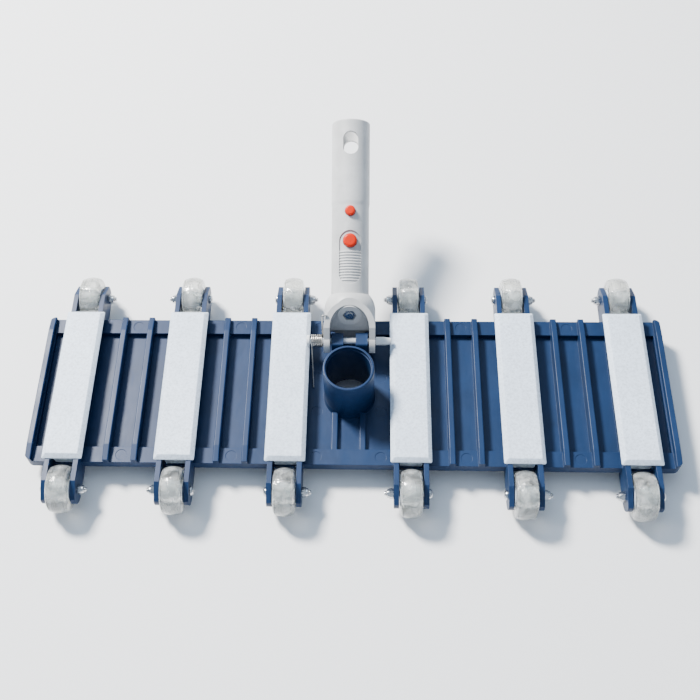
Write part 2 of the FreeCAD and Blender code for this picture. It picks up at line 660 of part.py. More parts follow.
def behind_web(offset, reach=3 * HANDLE_END_W):
    """Everything on the handle's side of the web's face, moved in by an offset."""
    n_w, n_v = web_normal()
    w0, v0 = WEB_FOOT_W + n_w * offset, WEB_FOOT_V + n_v * offset
    t_w, t_v = -n_v, n_w
    corners = [(w0 - t_w * reach, v0 - t_v * reach), (w0 + t_w * reach, v0 + t_v * reach)]
    corners += [(w + n_w * reach, v + n_v * reach) for w, v in reversed(corners)]
    face = Part.Face(Part.makePolygon([upright(-YOKE_R - 1, w, v) for w, v in corners + corners[:1]]))
    return face.extrude(V(2 * YOKE_R + 2, 0, 0))


def boss_centre():
    run_w, run_v = ARCH_TOP_W - WEB_FOOT_W, WEB_HEAD_V - WEB_FOOT_V
    return WEB_FOOT_W + BOSS_ALONG * run_w, WEB_FOOT_V + BOSS_ALONG * run_v


def yoke():
    """Hooded fork: two arms on the pin, a sloping web, and a socket for the handle tube."""
    profile = [
        Part.LineSegment(V(0, 0, WEB_FOOT_W), V(YOKE_R, 0, WEB_FOOT_W)),
        Part.LineSegment(V(YOKE_R, 0, WEB_FOOT_W), V(YOKE_R, 0, SHOULDER_START_W)),
    ]
    lip_r = GRIP_R + SHOULDER_LIP
    run_w, run_r = SHOULDER_END_W - SHOULDER_START_W, YOKE_R - lip_r
    bulge = 0.75
    profile += [
        Part.Arc(V(YOKE_R, 0, SHOULDER_START_W),
                 V(YOKE_R - run_r * (1 - bulge), 0, SHOULDER_START_W + run_w * (bulge - 0.18)),
                 V(lip_r, 0, SHOULDER_END_W)),
        Part.LineSegment(V(lip_r, 0, SHOULDER_END_W), V(0, 0, SHOULDER_END_W)),
        Part.LineSegment(V(0, 0, SHOULDER_END_W), V(0, 0, WEB_FOOT_W)),
    ]
    barrel = Part.Face(Part.Wire([c.toShape() for c in profile])).revolve(V(0, 0, 0), V(0, 0, 1), 360)
    rim_top = ARCH_TOP_W + ARCH_RIM
    horseshoe = arch(YOKE_R, rim_top, -YOKE_ARM_HALF_DEPTH, YOKE_R)
    body = barrel.fuse(horseshoe)

    # the front is one flat face that leans out towards the arch's top
    low, high = -YOKE_ARM_END_R - 2, SHOULDER_END_W + 1
    slope = YOKE_FRONT_LEAN / rim_top
    front = [(low, YOKE_ARM_HALF_DEPTH + slope * low), (high, YOKE_ARM_HALF_DEPTH + slope * high),
             (high, YOKE_R * 2), (low, YOKE_R * 2)]
    wedge = Part.Face(Part.makePolygon([upright(-YOKE_R - 1, w, v) for w, v in front + front[:1]]))
    body = body.cut(wedge.extrude(V(2 * YOKE_R + 2, 0, 0)))

    # the mouth under the web, open at the front, the foot and the rear
    mouth = arch(YOKE_ARM_INNER_X, ARCH_TOP_W, -YOKE_R - 1, YOKE_R + 1).cut(behind_web(0))
    below = box(-YOKE_ARM_INNER_X, YOKE_ARM_INNER_X, -YOKE_R - 1, YOKE_R + 1,
                -YOKE_ARM_END_R - 1, WEB_FOOT_W)
    body = body.cut(mouth).cut(below)

    # the arms' feet are rounded about the pin
    depth = YOKE_ARM_HALF_DEPTH
    keep = cylinder(YOKE_ARM_END_R, 2 * YOKE_R + 2, V(-YOKE_R - 1, 0, 0), V(1, 0, 0))
    taper = [(0, -YOKE_ARM_END_R), (0, YOKE_ARM_END_R), (WEB_FOOT_W, depth + 1.5),
             (WEB_FOOT_W, YOKE_R + 1), (SHOULDER_END_W + 1, YOKE_R + 1),
             (SHOULDER_END_W + 1, -YOKE_R - 1), (WEB_FOOT_W, -YOKE_R - 1), (WEB_FOOT_W, -depth - 1.5)]
    upper = Part.Face(Part.makePolygon([upright(-YOKE_R - 1, w, v) for w, v in taper + taper[:1]]))
    body = body.common(keep.fuse(upper.extrude(V(2 * YOKE_R + 2, 0, 0))))

    # boss, hexagonal pocket and screw hole on the web
    n_w, n_v = web_normal()
    c_w, c_v = boss_centre()
    inward = V(0, -n_v, n_w)
    outer = upright(0, c_w, c_v) - inward * BOSS_RISE
    boss = cylinder(BOSS_R, BOSS_RISE + 0.5, outer, inward)
    body = body.fuse(boss.common(arch(YOKE_ARM_INNER_X + 0.5, ARCH_TOP_W + 0.5, -YOKE_R, YOKE_R)))
    pocket = hexagon(HEX_POCKET_AF, 1 + BOSS_RISE + YOKE_SCREW_SINK, outer - inward, inward)
    hole = cylinder(YOKE_SCREW_R + BOLT_FIT, WEB_THICKNESS + 6, outer, inward)
    socket = cylinder(GRIP_R + SEAT_GAP, SHOULDER_END_W + 20, V(0, 0, -10), V(0, 0, 1))
    socket = socket.common(behind_web(WEB_THICKNESS))
    pin_hole = cylinder(PIN_R + PIN_FIT, 2 * YOKE_R + 2, V(-YOKE_R - 1, 0, 0), V(1, 0, 0))
    return body.cut([pocket, hole, socket, pin_hole]).removeSplitter()


def yoke_screw():
    """Hexagon-head screw through the web into the foot of the handle tube."""
    n_w, n_v = web_normal()
    c_w, c_v = boss_centre()
    inward = V(0, -n_v, n_w)
    seat = upright(0, c_w, c_v) + inward * YOKE_SCREW_SINK
    head = hexagon(YOKE_SCREW_HEAD_AF, YOKE_SCREW_HEAD_H, seat, inward * -1)
    shank = cylinder(YOKE_SCREW_R, YOKE_SCREW_LENGTH, seat, inward)
    crown = cylinder(YOKE_SCREW_R, 0.8, seat - inward * (YOKE_SCREW_HEAD_H + 0.7), inward)
    return fuse([head, shank, crown])


def stadium(start_w, end_w, half, base_v, length):
    """A prism that stands out along the handle's front, round at both ends."""
    return fuse([
        cylinder(half, length, upright(0, start_w + half, base_v), V(0, -1, 0)),
        cylinder(half, length, upright(0, end_w - half, base_v), V(0, -1, 0)),
        box(-half, half, -base_v - length, -base_v, start_w + half, end_w - half)])


def grip_recess():
    """Pocket of even depth in the handle's front, with finger ribs left standing."""
    floor_r = GRIP_R - GRIP_DEPTH
    pocket = stadium(GRIP_START_W, GRIP_END_W, GRIP_HALF_WIDTH, 0, 2 * HANDLE_R)
    pocket = pocket.cut(cylinder(floor_r, HANDLE_END_W, V(0, 0, 0), V(0, 0, 1)))
    ribs = []
    for k in range(GRIP_RIBS):
        w = GRIP_RIB_START_W + k * GRIP_RIB_PITCH
        ribs.append(Part.makeTorus(floor_r, GRIP_RIB_RISE, V(0, 0, w), V(0, 0, 1)))
    return pocket.cut(Part.makeCompound(ribs))


def handle_tube():
    """Tube that a pole slides over: solid foot, grip, two button holes and a hanging slot."""
    cone_end = GRIP_R_END_W + GRIP_R_RUN
    tube = cylinder(HANDLE_R, HANDLE_END_W - cone_end, V(0, 0, cone_end), V(0, 0, 1))
    tube = tube.makeFillet(HANDLE_END_ROUND, edges_at(tube, HANDLE_END_W))
    cone = Part.makeCone(GRIP_R, HANDLE_R, GRIP_R_RUN, V(0, 0, GRIP_R_END_W), V(0, 0, 1))
    tube = tube.fuse([cone, cylinder(GRIP_R, GRIP_R_END_W, V(0, 0, 0), V(0, 0, 1))])
    tube = tube.common(behind_web(WEB_THICKNESS + SEAT_GAP))
    bore = cylinder(HANDLE_BORE_R, HANDLE_END_W, V(0, 0, FOOT_PLUG_W), V(0, 0, 1))
    ledge = box(-HANDLE_R, HANDLE_R, -LEAF_LEDGE_V, HANDLE_R, FOOT_PLUG_W - 1, LEAF_W)
    tube = tube.cut(bore.cut(ledge))
    tube = tube.cut(grip_recess())
    for w, radius in ((RELEASE_W, RELEASE_R), (LOCK_W, LOCK_R)):
        tube = tube.cut(cylinder(radius + BUTTON_FIT, HANDLE_R + 1, upright(0, w, 0), V(0, -1, 0)))
    slot = stadium(SLOT_START_W, SLOT_END_W, SLOT_WIDTH / 2, -HANDLE_R - 1, 2 * HANDLE_R + 2)
    n_w, n_v = web_normal()
    c_w, c_v = boss_centre()
    screw_hole = cylinder(YOKE_SCREW_R + BOLT_FIT, YOKE_SCREW_LENGTH + YOKE_SCREW_HEAD_H + 1,
                          upright(0, c_w, c_v), V(0, -n_v, n_w))
    rivet_hole = cylinder(RIVET_R + BOLT_FIT, RIVET_DEPTH + 2, rivet_seat() + V(0, RIVET_DEPTH + 0.5, 0),
                          V(0, -1, 0))
    return tube.cut(slot).cut(screw_hole).cut(rivet_hole).removeSplitter()


def rivet_seat():
    """Where the rivet goes into the ledge, on the ledge's face."""
    return upright(0, (FOOT_PLUG_W + LEAF_W) / 2, LEAF_LEDGE_V)


def button(w, radius, surface_v, rise):
    """A domed push button that stands on the leaf; its flange bears on the tube's inside."""
    foot_v = LEAF_LEDGE_V + LEAF_THICKNESS + SEAT_GAP
    stem = cylinder(radius, surface_v + rise - foot_v, upright(0, w, foot_v), V(0, -1, 0))
    crown = [e for e in stem.Edges if e.BoundBox.YLength < 0.01 and e.BoundBox.YMin < -foot_v - 1]
    stem = stem.makeFillet(min(rise * 0.6, radius * 0.4), crown)
    flange_r = radius + BUTTON_FLANGE
    stop_v = math.sqrt(HANDLE_BORE_R ** 2 - flange_r ** 2) - BUTTON_STOP_GAP
    flange = cylinder(flange_r, BUTTON_FLANGE_H, upright(0, w, stop_v - BUTTON_FLANGE_H), V(0, -1, 0))
    return fuse([stem, flange])


def latch_leaf():
    """Flat spring inside the handle that pushes both buttons out."""
    half = LEAF_WIDTH / 2
    end_w = LOCK_W + LEAF_TIP_PAST_LOCK
    leaf = box(-half, half, -LEAF_LEDGE_V - LEAF_THICKNESS, -LEAF_LEDGE_V, FOOT_PLUG_W + 1, end_w)
    ends = [e for e in leaf.Edges if abs(e.tangentAt(e.FirstParameter).y) > 0.9]
    leaf = leaf.makeFillet(half * 0.6, ends)
    hole = cylinder(RIVET_R + BOLT_FIT, 2, rivet_seat() + V(0, 0.5, 0), V(0, -1, 0))
    return leaf.cut(hole)


def latch_rivet():
    seat = rivet_seat()
    shank = cylinder(RIVET_R, RIVET_DEPTH + LEAF_THICKNESS + RIVET_HEAD_H / 2,
                     seat + V(0, RIVET_DEPTH, 0), V(0, -1, 0))
    head = cylinder(RIVET_HEAD_R, RIVET_HEAD_H, seat - V(0, LEAF_THICKNESS, 0), V(0, -1, 0))
    crown = [e for e in head.Edges if e.BoundBox.YLength < 0.01
             and e.BoundBox.YMin < seat.y - LEAF_THICKNESS - RIVET_HEAD_H / 2]
    return fuse([shank, head.makeFillet(RIVET_HEAD_H * 0.6, crown)])


# ---- build -------------------------------------------------------------------------------

def build():
    os.makedirs("parts", exist_ok=True)
    save("deck", deck())
    bolts, nuts, screws = [], [], []
    rubber, bush = tyre(), hub()
    for number, x in enumerate(BARS, start=1):
        save("weight_%d" % number, weight(x))
        head_side = -1 if number % 2 else 1
        for row, side in ROWS.items():
            centre = V(x, side * AXLE_Y, -AXLE_DROP)
            for name, piece in (("tyre", rubber), ("hub", bush)):
                placed = piece.copy()
                placed.translate(centre)
                save("%s_%s_%d" % (name, row, number), placed)
            for piece, group in ((axle_bolt(head_side), bolts), (axle_nut(head_side), nuts)):
                piece.translate(centre)
                group.append(piece)
            screws.append(weight_screw(x, side * WEIGHT_SCREW_Y))
    save("axle_bolts", Part.makeCompound(bolts))
    save("axle_nuts", Part.makeCompound(nuts))
    save("weight_screws", Part.makeCompound(screws))
    save("hinge_pin", hinge_pin())
    save("torsion_spring", torsion_spring())
    save("yoke", lay_back(yoke()))
    save("yoke_screw", lay_back(yoke_screw()))
    save("handle_tube", lay_back(handle_tube()))
    release = button(RELEASE_W, RELEASE_R, GRIP_R - GRIP_DEPTH, RELEASE_RISE)
    save("release_button", lay_back(release))
    save("lock_button", lay_back(button(LOCK_W, LOCK_R, GRIP_R, LOCK_RISE)))
    save("latch_leaf", lay_back(latch_leaf()))
    save("latch_rivet", lay_back(latch_rivet()))


build()
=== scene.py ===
import json
import math

import bmesh
import bpy
from mathutils import Matrix, Vector


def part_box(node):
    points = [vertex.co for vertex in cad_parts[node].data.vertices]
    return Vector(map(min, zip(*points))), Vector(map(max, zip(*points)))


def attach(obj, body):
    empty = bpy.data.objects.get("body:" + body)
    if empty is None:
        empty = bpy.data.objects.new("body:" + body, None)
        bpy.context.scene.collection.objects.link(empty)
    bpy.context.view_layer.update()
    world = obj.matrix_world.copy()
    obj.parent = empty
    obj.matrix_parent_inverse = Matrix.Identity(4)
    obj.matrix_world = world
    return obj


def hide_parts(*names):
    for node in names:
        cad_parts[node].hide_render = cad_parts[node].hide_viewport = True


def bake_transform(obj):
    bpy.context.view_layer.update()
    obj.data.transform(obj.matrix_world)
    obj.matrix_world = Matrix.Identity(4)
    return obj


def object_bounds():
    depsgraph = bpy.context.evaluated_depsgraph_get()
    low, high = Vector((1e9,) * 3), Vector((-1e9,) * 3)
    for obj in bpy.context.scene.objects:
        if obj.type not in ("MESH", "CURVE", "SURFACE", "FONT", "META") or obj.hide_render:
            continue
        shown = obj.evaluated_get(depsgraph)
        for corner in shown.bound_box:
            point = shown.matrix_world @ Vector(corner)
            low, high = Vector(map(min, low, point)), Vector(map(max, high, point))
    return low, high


bl_info = {
    "name": "Pool vacuum head",
    "version": (1, 0, 0),
    "blender": (4, 5, 0),
    "location": "View3D > Sidebar > Vacuum head",
    "description": "Finishes a wheeled pool vacuum head around its packed CAD frame",
    "category": "Object",
}

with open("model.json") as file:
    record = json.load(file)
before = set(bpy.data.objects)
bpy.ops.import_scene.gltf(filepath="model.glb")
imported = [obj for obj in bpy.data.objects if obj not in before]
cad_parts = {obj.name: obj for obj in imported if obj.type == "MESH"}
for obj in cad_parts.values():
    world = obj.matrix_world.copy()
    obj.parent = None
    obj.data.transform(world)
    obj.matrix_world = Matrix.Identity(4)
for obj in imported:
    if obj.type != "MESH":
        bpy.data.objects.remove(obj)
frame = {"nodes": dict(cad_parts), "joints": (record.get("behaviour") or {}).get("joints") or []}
CAD_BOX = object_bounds()
MM = 0.001
TINY = 1e-6
BARS = range(1, 7)
WHEELS = ["%s_%d" % (row, number) for row in ("front", "rear") for number in BARS]
TYRE_SEGMENTS = 96
HUB_SEGMENTS = 64
BOLT_SEGMENTS = 48
NUT_SEGMENTS = 72


# ---- where things are, from the frame -----------------------------------------------------

def middle(node):
    low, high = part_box(node)
    return (low + high) / 2


def joint(name):
    return next(j for j in frame["joints"] if j["name"] == name)


PIN = Vector(joint("handle_tilt")["pos_m"])
INWARD = Vector(joint("release_press")["axis"]).normalized()
ALONG = Vector((1, 0, 0)).cross(INWARD)


def on_handle(x, w, v):
    """A point from the pin: w along the handle and v out from its front, in metres."""
    return PIN + Vector((x, 0, 0)) + ALONG * w - INWARD * v


# ---- mesh building ------------------------------------------------------------------------

def add_object(name, bm, material, sharp_degrees=35.0):
    bmesh.ops.recalc_face_normals(bm, faces=bm.faces)
    mesh = bpy.data.meshes.new(name)
    bm.to_mesh(mesh)
    bm.free()
    mesh.shade_smooth()
    mesh.set_sharp_from_angle(angle=math.radians(sharp_degrees))
    mesh.materials.append(material)
    piece = bpy.data.objects.new(name, mesh)
    bpy.context.scene.collection.objects.link(piece)
    return piece


def join_rings(bm, rings, closed=False):
    """Quads between neighbouring rings of equal length."""
    pairs = list(zip(rings, rings[1:]))
    if closed:
        pairs.append((rings[-1], rings[0]))
    for a, b in pairs:
        count = len(a)
        for k in range(count):
            bm.faces.new((a[k], a[(k + 1) % count], b[(k + 1) % count], b[k]))


def rounded(outline, steps=5):
    """An open outline of (a, b, radius) corners, with each radius turned into short chords."""
    points = []
    for k, (a, b, radius) in enumerate(outline):
        if not radius or k in (0, len(outline) - 1):
            points.append((a, b))
            continue
        here = Vector((a, b))
        before = (Vector(outline[k - 1][:2]) - here).normalized()
        after = (Vector(outline[k + 1][:2]) - here).normalized()
        half = before.angle(after) / 2
        reach = radius / math.tan(half)
        centre = here + (before + after).normalized() * (radius / math.sin(half))
        start, end = here + before * reach - centre, here + after * reach - centre
        turn = start.angle_signed(end)
        for s in range(steps + 1):
            arm = start.copy()
            arm.rotate(Matrix.Rotation(-turn * s / steps, 2))
            points.append(tuple(centre + arm))
    return points


def hex_radius(angle, across_flats):
    """Distance from a hexagon's middle to its edge, in the direction of angle."""
    sixth = math.pi / 3
    return across_flats / 2 / math.cos((angle + sixth / 2) % sixth - sixth / 2)


def turn_about_x(bm, profile, centre, segments, closed=True):
    """A body turned about X. profile holds (x, r) or (x, r, across_flats of a hexagon that r trims)."""
    rings = []
    for x, r, *flats in profile:
        ring = []
        for k in range(segments):
            angle = 2 * math.pi * k / segments
            radius = min(r, hex_radius(angle, flats[0])) if flats else r
            offset = Vector((x, radius * math.cos(angle), radius * math.sin(angle)))
            ring.append(bm.verts.new(centre + offset))
        rings.append(ring)
    join_rings(bm, rings, closed)
    if not closed:
        bm.faces.new(rings[0])
        bm.faces.new(rings[-1])


def mirrored_about_middle(points):
    """A closed profile from its right half, whose first and last points lie on the middle."""
    return points + [(-x, r) for x, r in reversed(points[1:-1])]


def quarter(middle_x, middle_r, reach_x, reach_r, steps):
    """Points of a quarter ellipse, from beside its middle to above it."""
    angles = [math.pi / 2 * k / steps for k in range(steps + 1)]
    return [(middle_x + reach_x * math.cos(a), middle_r + reach_r * math.sin(a)) for a in angles]


def rounded_rectangle(half_x, half_y, radius, steps=4):
    points = []
    for turn, (sx, sy) in enumerate(((1, 1), (-1, 1), (-1, -1), (1, -1))):
        for s in range(steps + 1):
            angle = math.pi / 2 * (turn + s / steps)
            points.append((sx * (half_x - radius) + radius * math.cos(angle),
                           sy * (half_y - radius) + radius * math.sin(angle)))
    return points


# ---- materials ----------------------------------------------------------------------------

class Surface:
    """A node material on one Principled shader, with small helpers for procedural detail."""

    def __init__(self, name):
        self.material = bpy.data.materials.new(name)
        self.material.use_nodes = True
        self.tree = self.material.node_tree
        self.shader = self.tree.nodes["Principled BSDF"]
        self.coordinates = self.tree.nodes.new("ShaderNodeTexCoord").outputs["Object"]

    def node(self, kind, **values):
        made = self.tree.nodes.new("ShaderNode" + kind)
        for key, value in values.items():
            if hasattr(made, key):
                setattr(made, key, value)
            else:
                made.inputs[key.replace("_", " ")].default_value = value
        return made

    def link(self, output, target):
        self.tree.links.new(output, target)

    def set(self, **values):
        for key, value in values.items():
            self.shader.inputs[key.replace("_", " ")].default_value = value
        return self

    def noise(self, scale, detail=4.0, roughness=0.55, stretch=(1, 1, 1), distortion=0.0):
        mapping = self.node("Mapping")
        mapping.inputs["Scale"].default_value = stretch
        self.link(self.coordinates, mapping.inputs["Vector"])
        made = self.node("TexNoise", Scale=scale, Detail=detail, Roughness=roughness,
                         Distortion=distortion)
        self.link(mapping.outputs["Vector"], made.inputs["Vector"])
        return made.outputs["Fac"]

    def cells(self, scale):
        made = self.node("TexVoronoi", Scale=scale)
        self.link(self.coordinates, made.inputs["Vector"])
        return made.outputs["Distance"]

    def spread(self, source, low, high, from_low=0.3, from_high=0.7):
        """source's span from_low to from_high, stretched to low to high."""
        made = self.node("MapRange", From_Min=from_low, From_Max=from_high, To_Min=low, To_Max=high)
        self.link(source, made.inputs["Value"])
        return made.outputs["Result"]

    def blend_colours(self, factor, first, second):
        made = self.node("Mix", data_type="RGBA")
        self.link(factor, made.inputs[0])
        for index, colour in ((6, first), (7, second)):
            if isinstance(colour, bpy.types.NodeSocket):
                self.link(colour, made.inputs[index])
            else:
                made.inputs[index].default_value = (*colour, 1.0)
        return made.outputs[2]

    def times(self, source, factor):
        made = self.node("Math", operation="MULTIPLY")
        self.link(source, made.inputs[0])
        made.inputs[1].default_value = factor
        return made.outputs[0]

    def soft_edges(self, radius):
        """Normals rounded over a small radius, and a mask that is 1 on worn outer edges."""
        bevel = self.node("Bevel", samples=6)
        bevel.inputs["Radius"].default_value = radius
        facing = self.node("VectorMath", operation="DOT_PRODUCT")
        self.link(bevel.outputs["Normal"], facing.inputs[0])
        self.link(self.node("NewGeometry").outputs["Normal"], facing.inputs[1])
        return bevel.outputs["Normal"], self.spread(facing.outputs["Value"], 1.0, 0.0, 0.82, 0.995)

    def bump(self, height, strength, distance, normal=None):
        made = self.node("Bump")
        made.inputs["Strength"].default_value = strength
        made.inputs["Distance"].default_value = distance
        self.link(height, made.inputs["Height"])
        if normal is not None:
            self.link(normal, made.inputs["Normal"])
        return made.outputs["Normal"]

    def finish(self, colour=None, roughness=None, normal=None):
        for socket, output in (("Base Color", colour), ("Roughness", roughness), ("Normal", normal)):
            if output is not None:
                self.link(output, self.shader.inputs[socket])
        return self.material


def shade(colour, factor):
    """colour made lighter or darker by a factor."""
    return tuple(min(1.0, c * factor) for c in colour)


def moulded_plastic(name, colour, rough, wear, grain=0.12, coat=0.0, shine=0.5):
    """Injection-moulded plastic: flow clouding, fine grain, scuffs and rubbed edges."""
    s = Surface(name)
    cloud = s.noise(28.0, 5.0, 0.6, distortion=0.6)
    fine = s.noise(2600.0, 2.0)
    scuff = s.noise(160.0, 8.0, 0.75, stretch=(1, 0.25, 1))
    normal, worn = s.soft_edges(0.35 * MM)
    body = s.blend_colours(s.spread(cloud, 0.0, 1.0), shade(colour, 0.86), shade(colour, 1.16))
    dusty = s.blend_colours(s.spread(scuff, 0.0, 0.35, 0.55, 0.8), body, shade(colour, 1.7))
    tint = s.blend_colours(s.times(worn, wear), dusty, shade(colour, 2.0))
    roughness = s.spread(scuff, rough - 0.06, rough + 0.14, 0.3, 0.75)
    normal = s.bump(cloud, 0.10, 0.4 * MM, s.bump(fine, grain, 0.05 * MM, normal))
    s.set(IOR=1.49, Specular_IOR_Level=shine, Coat_Weight=coat, Coat_Roughness=0.2)
    return s.finish(tint, roughness, normal)


def powder_coat(name, colour):
    """Thick pale coating on a cast bar: orange-peel grain, fine speckle and faint handling marks."""
    s = Surface(name)
    peel = s.noise(620.0, 3.0, 0.65)
    pits = s.cells(1100.0)
    cloud = s.noise(30.0, 5.0)
    speckle = s.noise(520.0, 3.0, 0.75)
    rub = s.noise(55.0, 8.0, 0.8, stretch=(1, 0.12, 1))
    normal, worn = s.soft_edges(0.5 * MM)
    body = s.blend_colours(s.spread(cloud, 0.0, 1.0), shade(colour, 0.93), shade(colour, 1.04))
    grain = s.blend_colours(s.spread(speckle, 0.0, 0.85, 0.42, 0.66), body, shade(colour, 0.70))
    marked = s.blend_colours(s.spread(rub, 0.0, 0.16, 0.56, 0.72), grain, shade(colour, 0.55))
    tint = s.blend_colours(s.times(worn, 0.35), marked, shade(colour, 1.15))
    normal = s.bump(pits, 0.25, 0.12 * MM, s.bump(peel, 0.7, 0.28 * MM, normal))
    s.set(IOR=1.5)
    return s.finish(tint, s.spread(peel, 0.44, 0.62), normal)


def clear_tyre_plastic(name, colour):
    """Soft translucent tyre: clear with milky clouds, flow streaks round it and a scuffed tread."""
    s = Surface(name)
    streaks = s.noise(120.0, 4.0, 0.6, stretch=(3, 1, 1), distortion=1.0)
    milk = s.noise(140.0, 3.0, 0.5, distortion=0.5)
    scuff = s.noise(420.0, 5.0, 0.7)
    body = s.blend_colours(s.spread(milk, 0.0, 1.0), shade(colour, 0.80), shade(colour, 1.08))
    normal = s.bump(streaks, 0.7, 1.2 * MM, s.bump(scuff, 0.06, 0.05 * MM))
    s.link(s.spread(milk, 0.95, 0.62), s.shader.inputs["Transmission Weight"])
    s.set(IOR=1.42, Specular_IOR_Level=0.7, Coat_Weight=0.6, Coat_Roughness=0.05,
          Subsurface_Weight=0.1, Subsurface_Scale=1.0, Subsurface_Radius=(0.004, 0.004, 0.0035))
    return s.finish(body, s.spread(scuff, 0.04, 0.14), normal)


def bright_metal(name, colour, rough, brush):
    """Stainless steel: fine brushing stretched by brush, faint stains, polished edges."""
    s = Surface(name)
    lines = s.noise(1400.0, 3.0, 0.6, stretch=brush)
    stain = s.noise(220.0, 5.0)
    normal, worn = s.soft_edges(0.12 * MM)
    body = s.blend_colours(s.spread(stain, 0.0, 1.0), shade(colour, 0.78), shade(colour, 1.06))
    tint = s.blend_colours(s.times(worn, 0.5), body, shade(colour, 1.25))
    s.set(Metallic=1.0, Anisotropic=0.3)
    roughness = s.spread(lines, rough - 0.07, rough + 0.12)
    return s.finish(tint, roughness, s.bump(lines, 0.10, 0.04 * MM, normal))


# ---- sizes and colours that a user would change -------------------------------------------

def length_prop(name, description, default_mm):
    return bpy.props.FloatProperty(name=name, description=description, default=default_mm * MM,
                                   min=0.0, precision=5, unit="LENGTH")


def colour_prop(name, description, default):
    return bpy.props.FloatVectorProperty(name=name, description=description, default=default,
                                         min=0.0, max=1.0, size=3, subtype="COLOR")


class VacuumHeadColours(bpy.types.PropertyGroup):
    deck: colour_prop("Deck", "Moulded plastic of the deck", (0.0085, 0.027, 0.078))
    weights: colour_prop("Weights", "Coating on the six weights", (0.74, 0.84, 0.97))
    tyres: colour_prop("Tyres", "Translucent tyre plastic", (0.90, 0.91, 0.87))
    hubs: colour_prop("Hubs", "Hub plastic", (0.74, 0.82, 0.92))
    steel: colour_prop("Fasteners", "Stainless bolts, nuts and screws", (0.66, 0.67, 0.68))
    spring: colour_prop("Springs", "Spring wire and leaf", (0.52, 0.50, 0.46))
    pin: colour_prop("Hinge pin", "Nylon of the hinge pin", (0.72, 0.74, 0.76))
    handle: colour_prop("Handle", "Yoke and handle plastic", (0.55, 0.55, 0.545))
    buttons: colour_prop("Buttons", "Latch buttons", (0.68, 0.020, 0.0))
    floor: colour_prop("Floor", "Floor of the studio", (0.93, 0.93, 0.93))


class VacuumHeadSizes(bpy.types.PropertyGroup):
    tyre_bore_r: length_prop("Tyre bore", "Radius where the tyre sits on its hub", 6.85)
    tyre_seat_r: length_prop("Tyre seat", "Radius of the pockets for the hub's rims", 8.65)
    tyre_seat_x: length_prop("Tyre seat half width", "From the tyre's middle to those pockets", 7.25)
    tread_half: length_prop("Tread half width", "From the tyre's middle to the tread's edge", 6.1)
    tread_drop: length_prop("Tread crown", "How much lower the tread's edge is than its middle", 1.3)
    tyre_side_r: length_prop("Tyre side radius", "Where the rounded shoulder meets the side", 12.6)
    side_groove: length_prop("Side groove", "Depth of the ring moulded in each side", 0.35)
    hub_r: length_prop("Hub radius", "Outside of the hub between its rims", 6.8)
    hub_rim: length_prop("Hub rim", "How far in from the hub's end a rim starts", 1.2)
    hub_bore_r: length_prop("Hub bore", "Radius of the hole for the wheel bolt", 2.06)
    edge_round: length_prop("Edge rounding", "Rounding on the weights' coated edges", 0.7)
    weight_bevel: length_prop("Weight bevel", "Width of the bevel round a weight's top", 3.0)
    weight_lip: length_prop("Weight lip", "Upright edge below the bevel", 0.7)
    weight_cap: length_prop("Weight cap", "Thickness of the cap that lies on the rails", 3.5)
    weight_block_gap: length_prop("Block gap", "Block's side inside the cap's edge", 6.4)
    weight_block_end: length_prop("Block end gap", "Block's end inside the cap's end", 2.8)
    fork_half: length_prop("Fork half width", "From a wheel's middle to the fork's outer face", 12.7)
    head_r: length_prop("Bolt head radius", "Radius of the wheel bolts' rounded head", 3.7)
    head_height: length_prop("Bolt head height", "Height of the wheel bolts' head", 2.5)
    socket_flats: length_prop("Bolt socket", "Across the flats of the hexagon socket", 2.5)
    shank_r: length_prop("Shank radius", "Radius of the wheel bolts' shank", 2.0)
    bolt_past_nut: length_prop("Bolt tip", "How far a bolt's tip stands out of its nut", 1.9)
    thread_pitch: length_prop("Thread pitch", "Pitch of the wheel bolts' thread", 0.7)
    thread_depth: length_prop("Thread depth", "Depth of the wheel bolts' thread", 0.42)
    nut_flats: length_prop("Nut flats", "Across the flats of the locking nuts", 7.0)
    nut_corner_r: length_prop("Nut corner radius", "Radius that trims the hexagon's corners", 4.2)
    nut_height: length_prop("Nut height", "Whole height of a locking nut", 5.0)
    nut_bore_r: length_prop("Nut bore", "Radius of the hole in a locking nut", 2.05)
    collar_r: length_prop("Nut collar radius", "Radius of the collar over the locking ring", 3.2)
    collar_round: length_prop("Nut collar rounding", "Rounding on the collar's rim", 0.7)
    wire_r: length_prop("Wire radius", "Radius of the torsion spring's wire", 0.6)
    coil_r: length_prop("Coil radius", "Middle of the coil's wire from the pin's axis", 4.4)
    hook_w: length_prop("Hook place", "From the pin along the handle to the spring's hook", 17.5)
    hook_length: length_prop("Hook length", "How far the spring's hook reaches over the arm", 4.2)
    leaf_reach: length_prop("Leaf reach", "From the leaf's bend to the small button", 53.3)
    leaf_relief: length_prop("Leaf relief", "How much thinner the leaf is than its CAD stand-in", 0.27)


class VacuumHeadSettings(bpy.types.PropertyGroup):
    colours: bpy.props.PointerProperty(type=VacuumHeadColours)
    sizes: bpy.props.PointerProperty(type=VacuumHeadSizes)


def colours():
    return bpy.context.scene.vacuum_head.colours


def sizes():
    return bpy.context.scene.vacuum_head.sizes


def paint(material, *nodes):
    """Give carried-over CAD nodes a material."""
    for name in nodes:
        mesh = frame["nodes"][name].data
        mesh.materials.clear()
        mesh.materials.append(material)


# ---- operators ----------------------------------------------------------------------------

class VACUUMHEAD_OT_deck(bpy.types.Operator):
    """Finish the deck moulding"""
    bl_idname = "vacuum_head.deck"
    bl_label = "Deck"

    def execute(self, context):
        navy = tuple(colours().deck)
        paint(moulded_plastic("deck_navy", navy, rough=0.36, wear=0.3, shine=0.24), "deck")
        return {"FINISHED"}


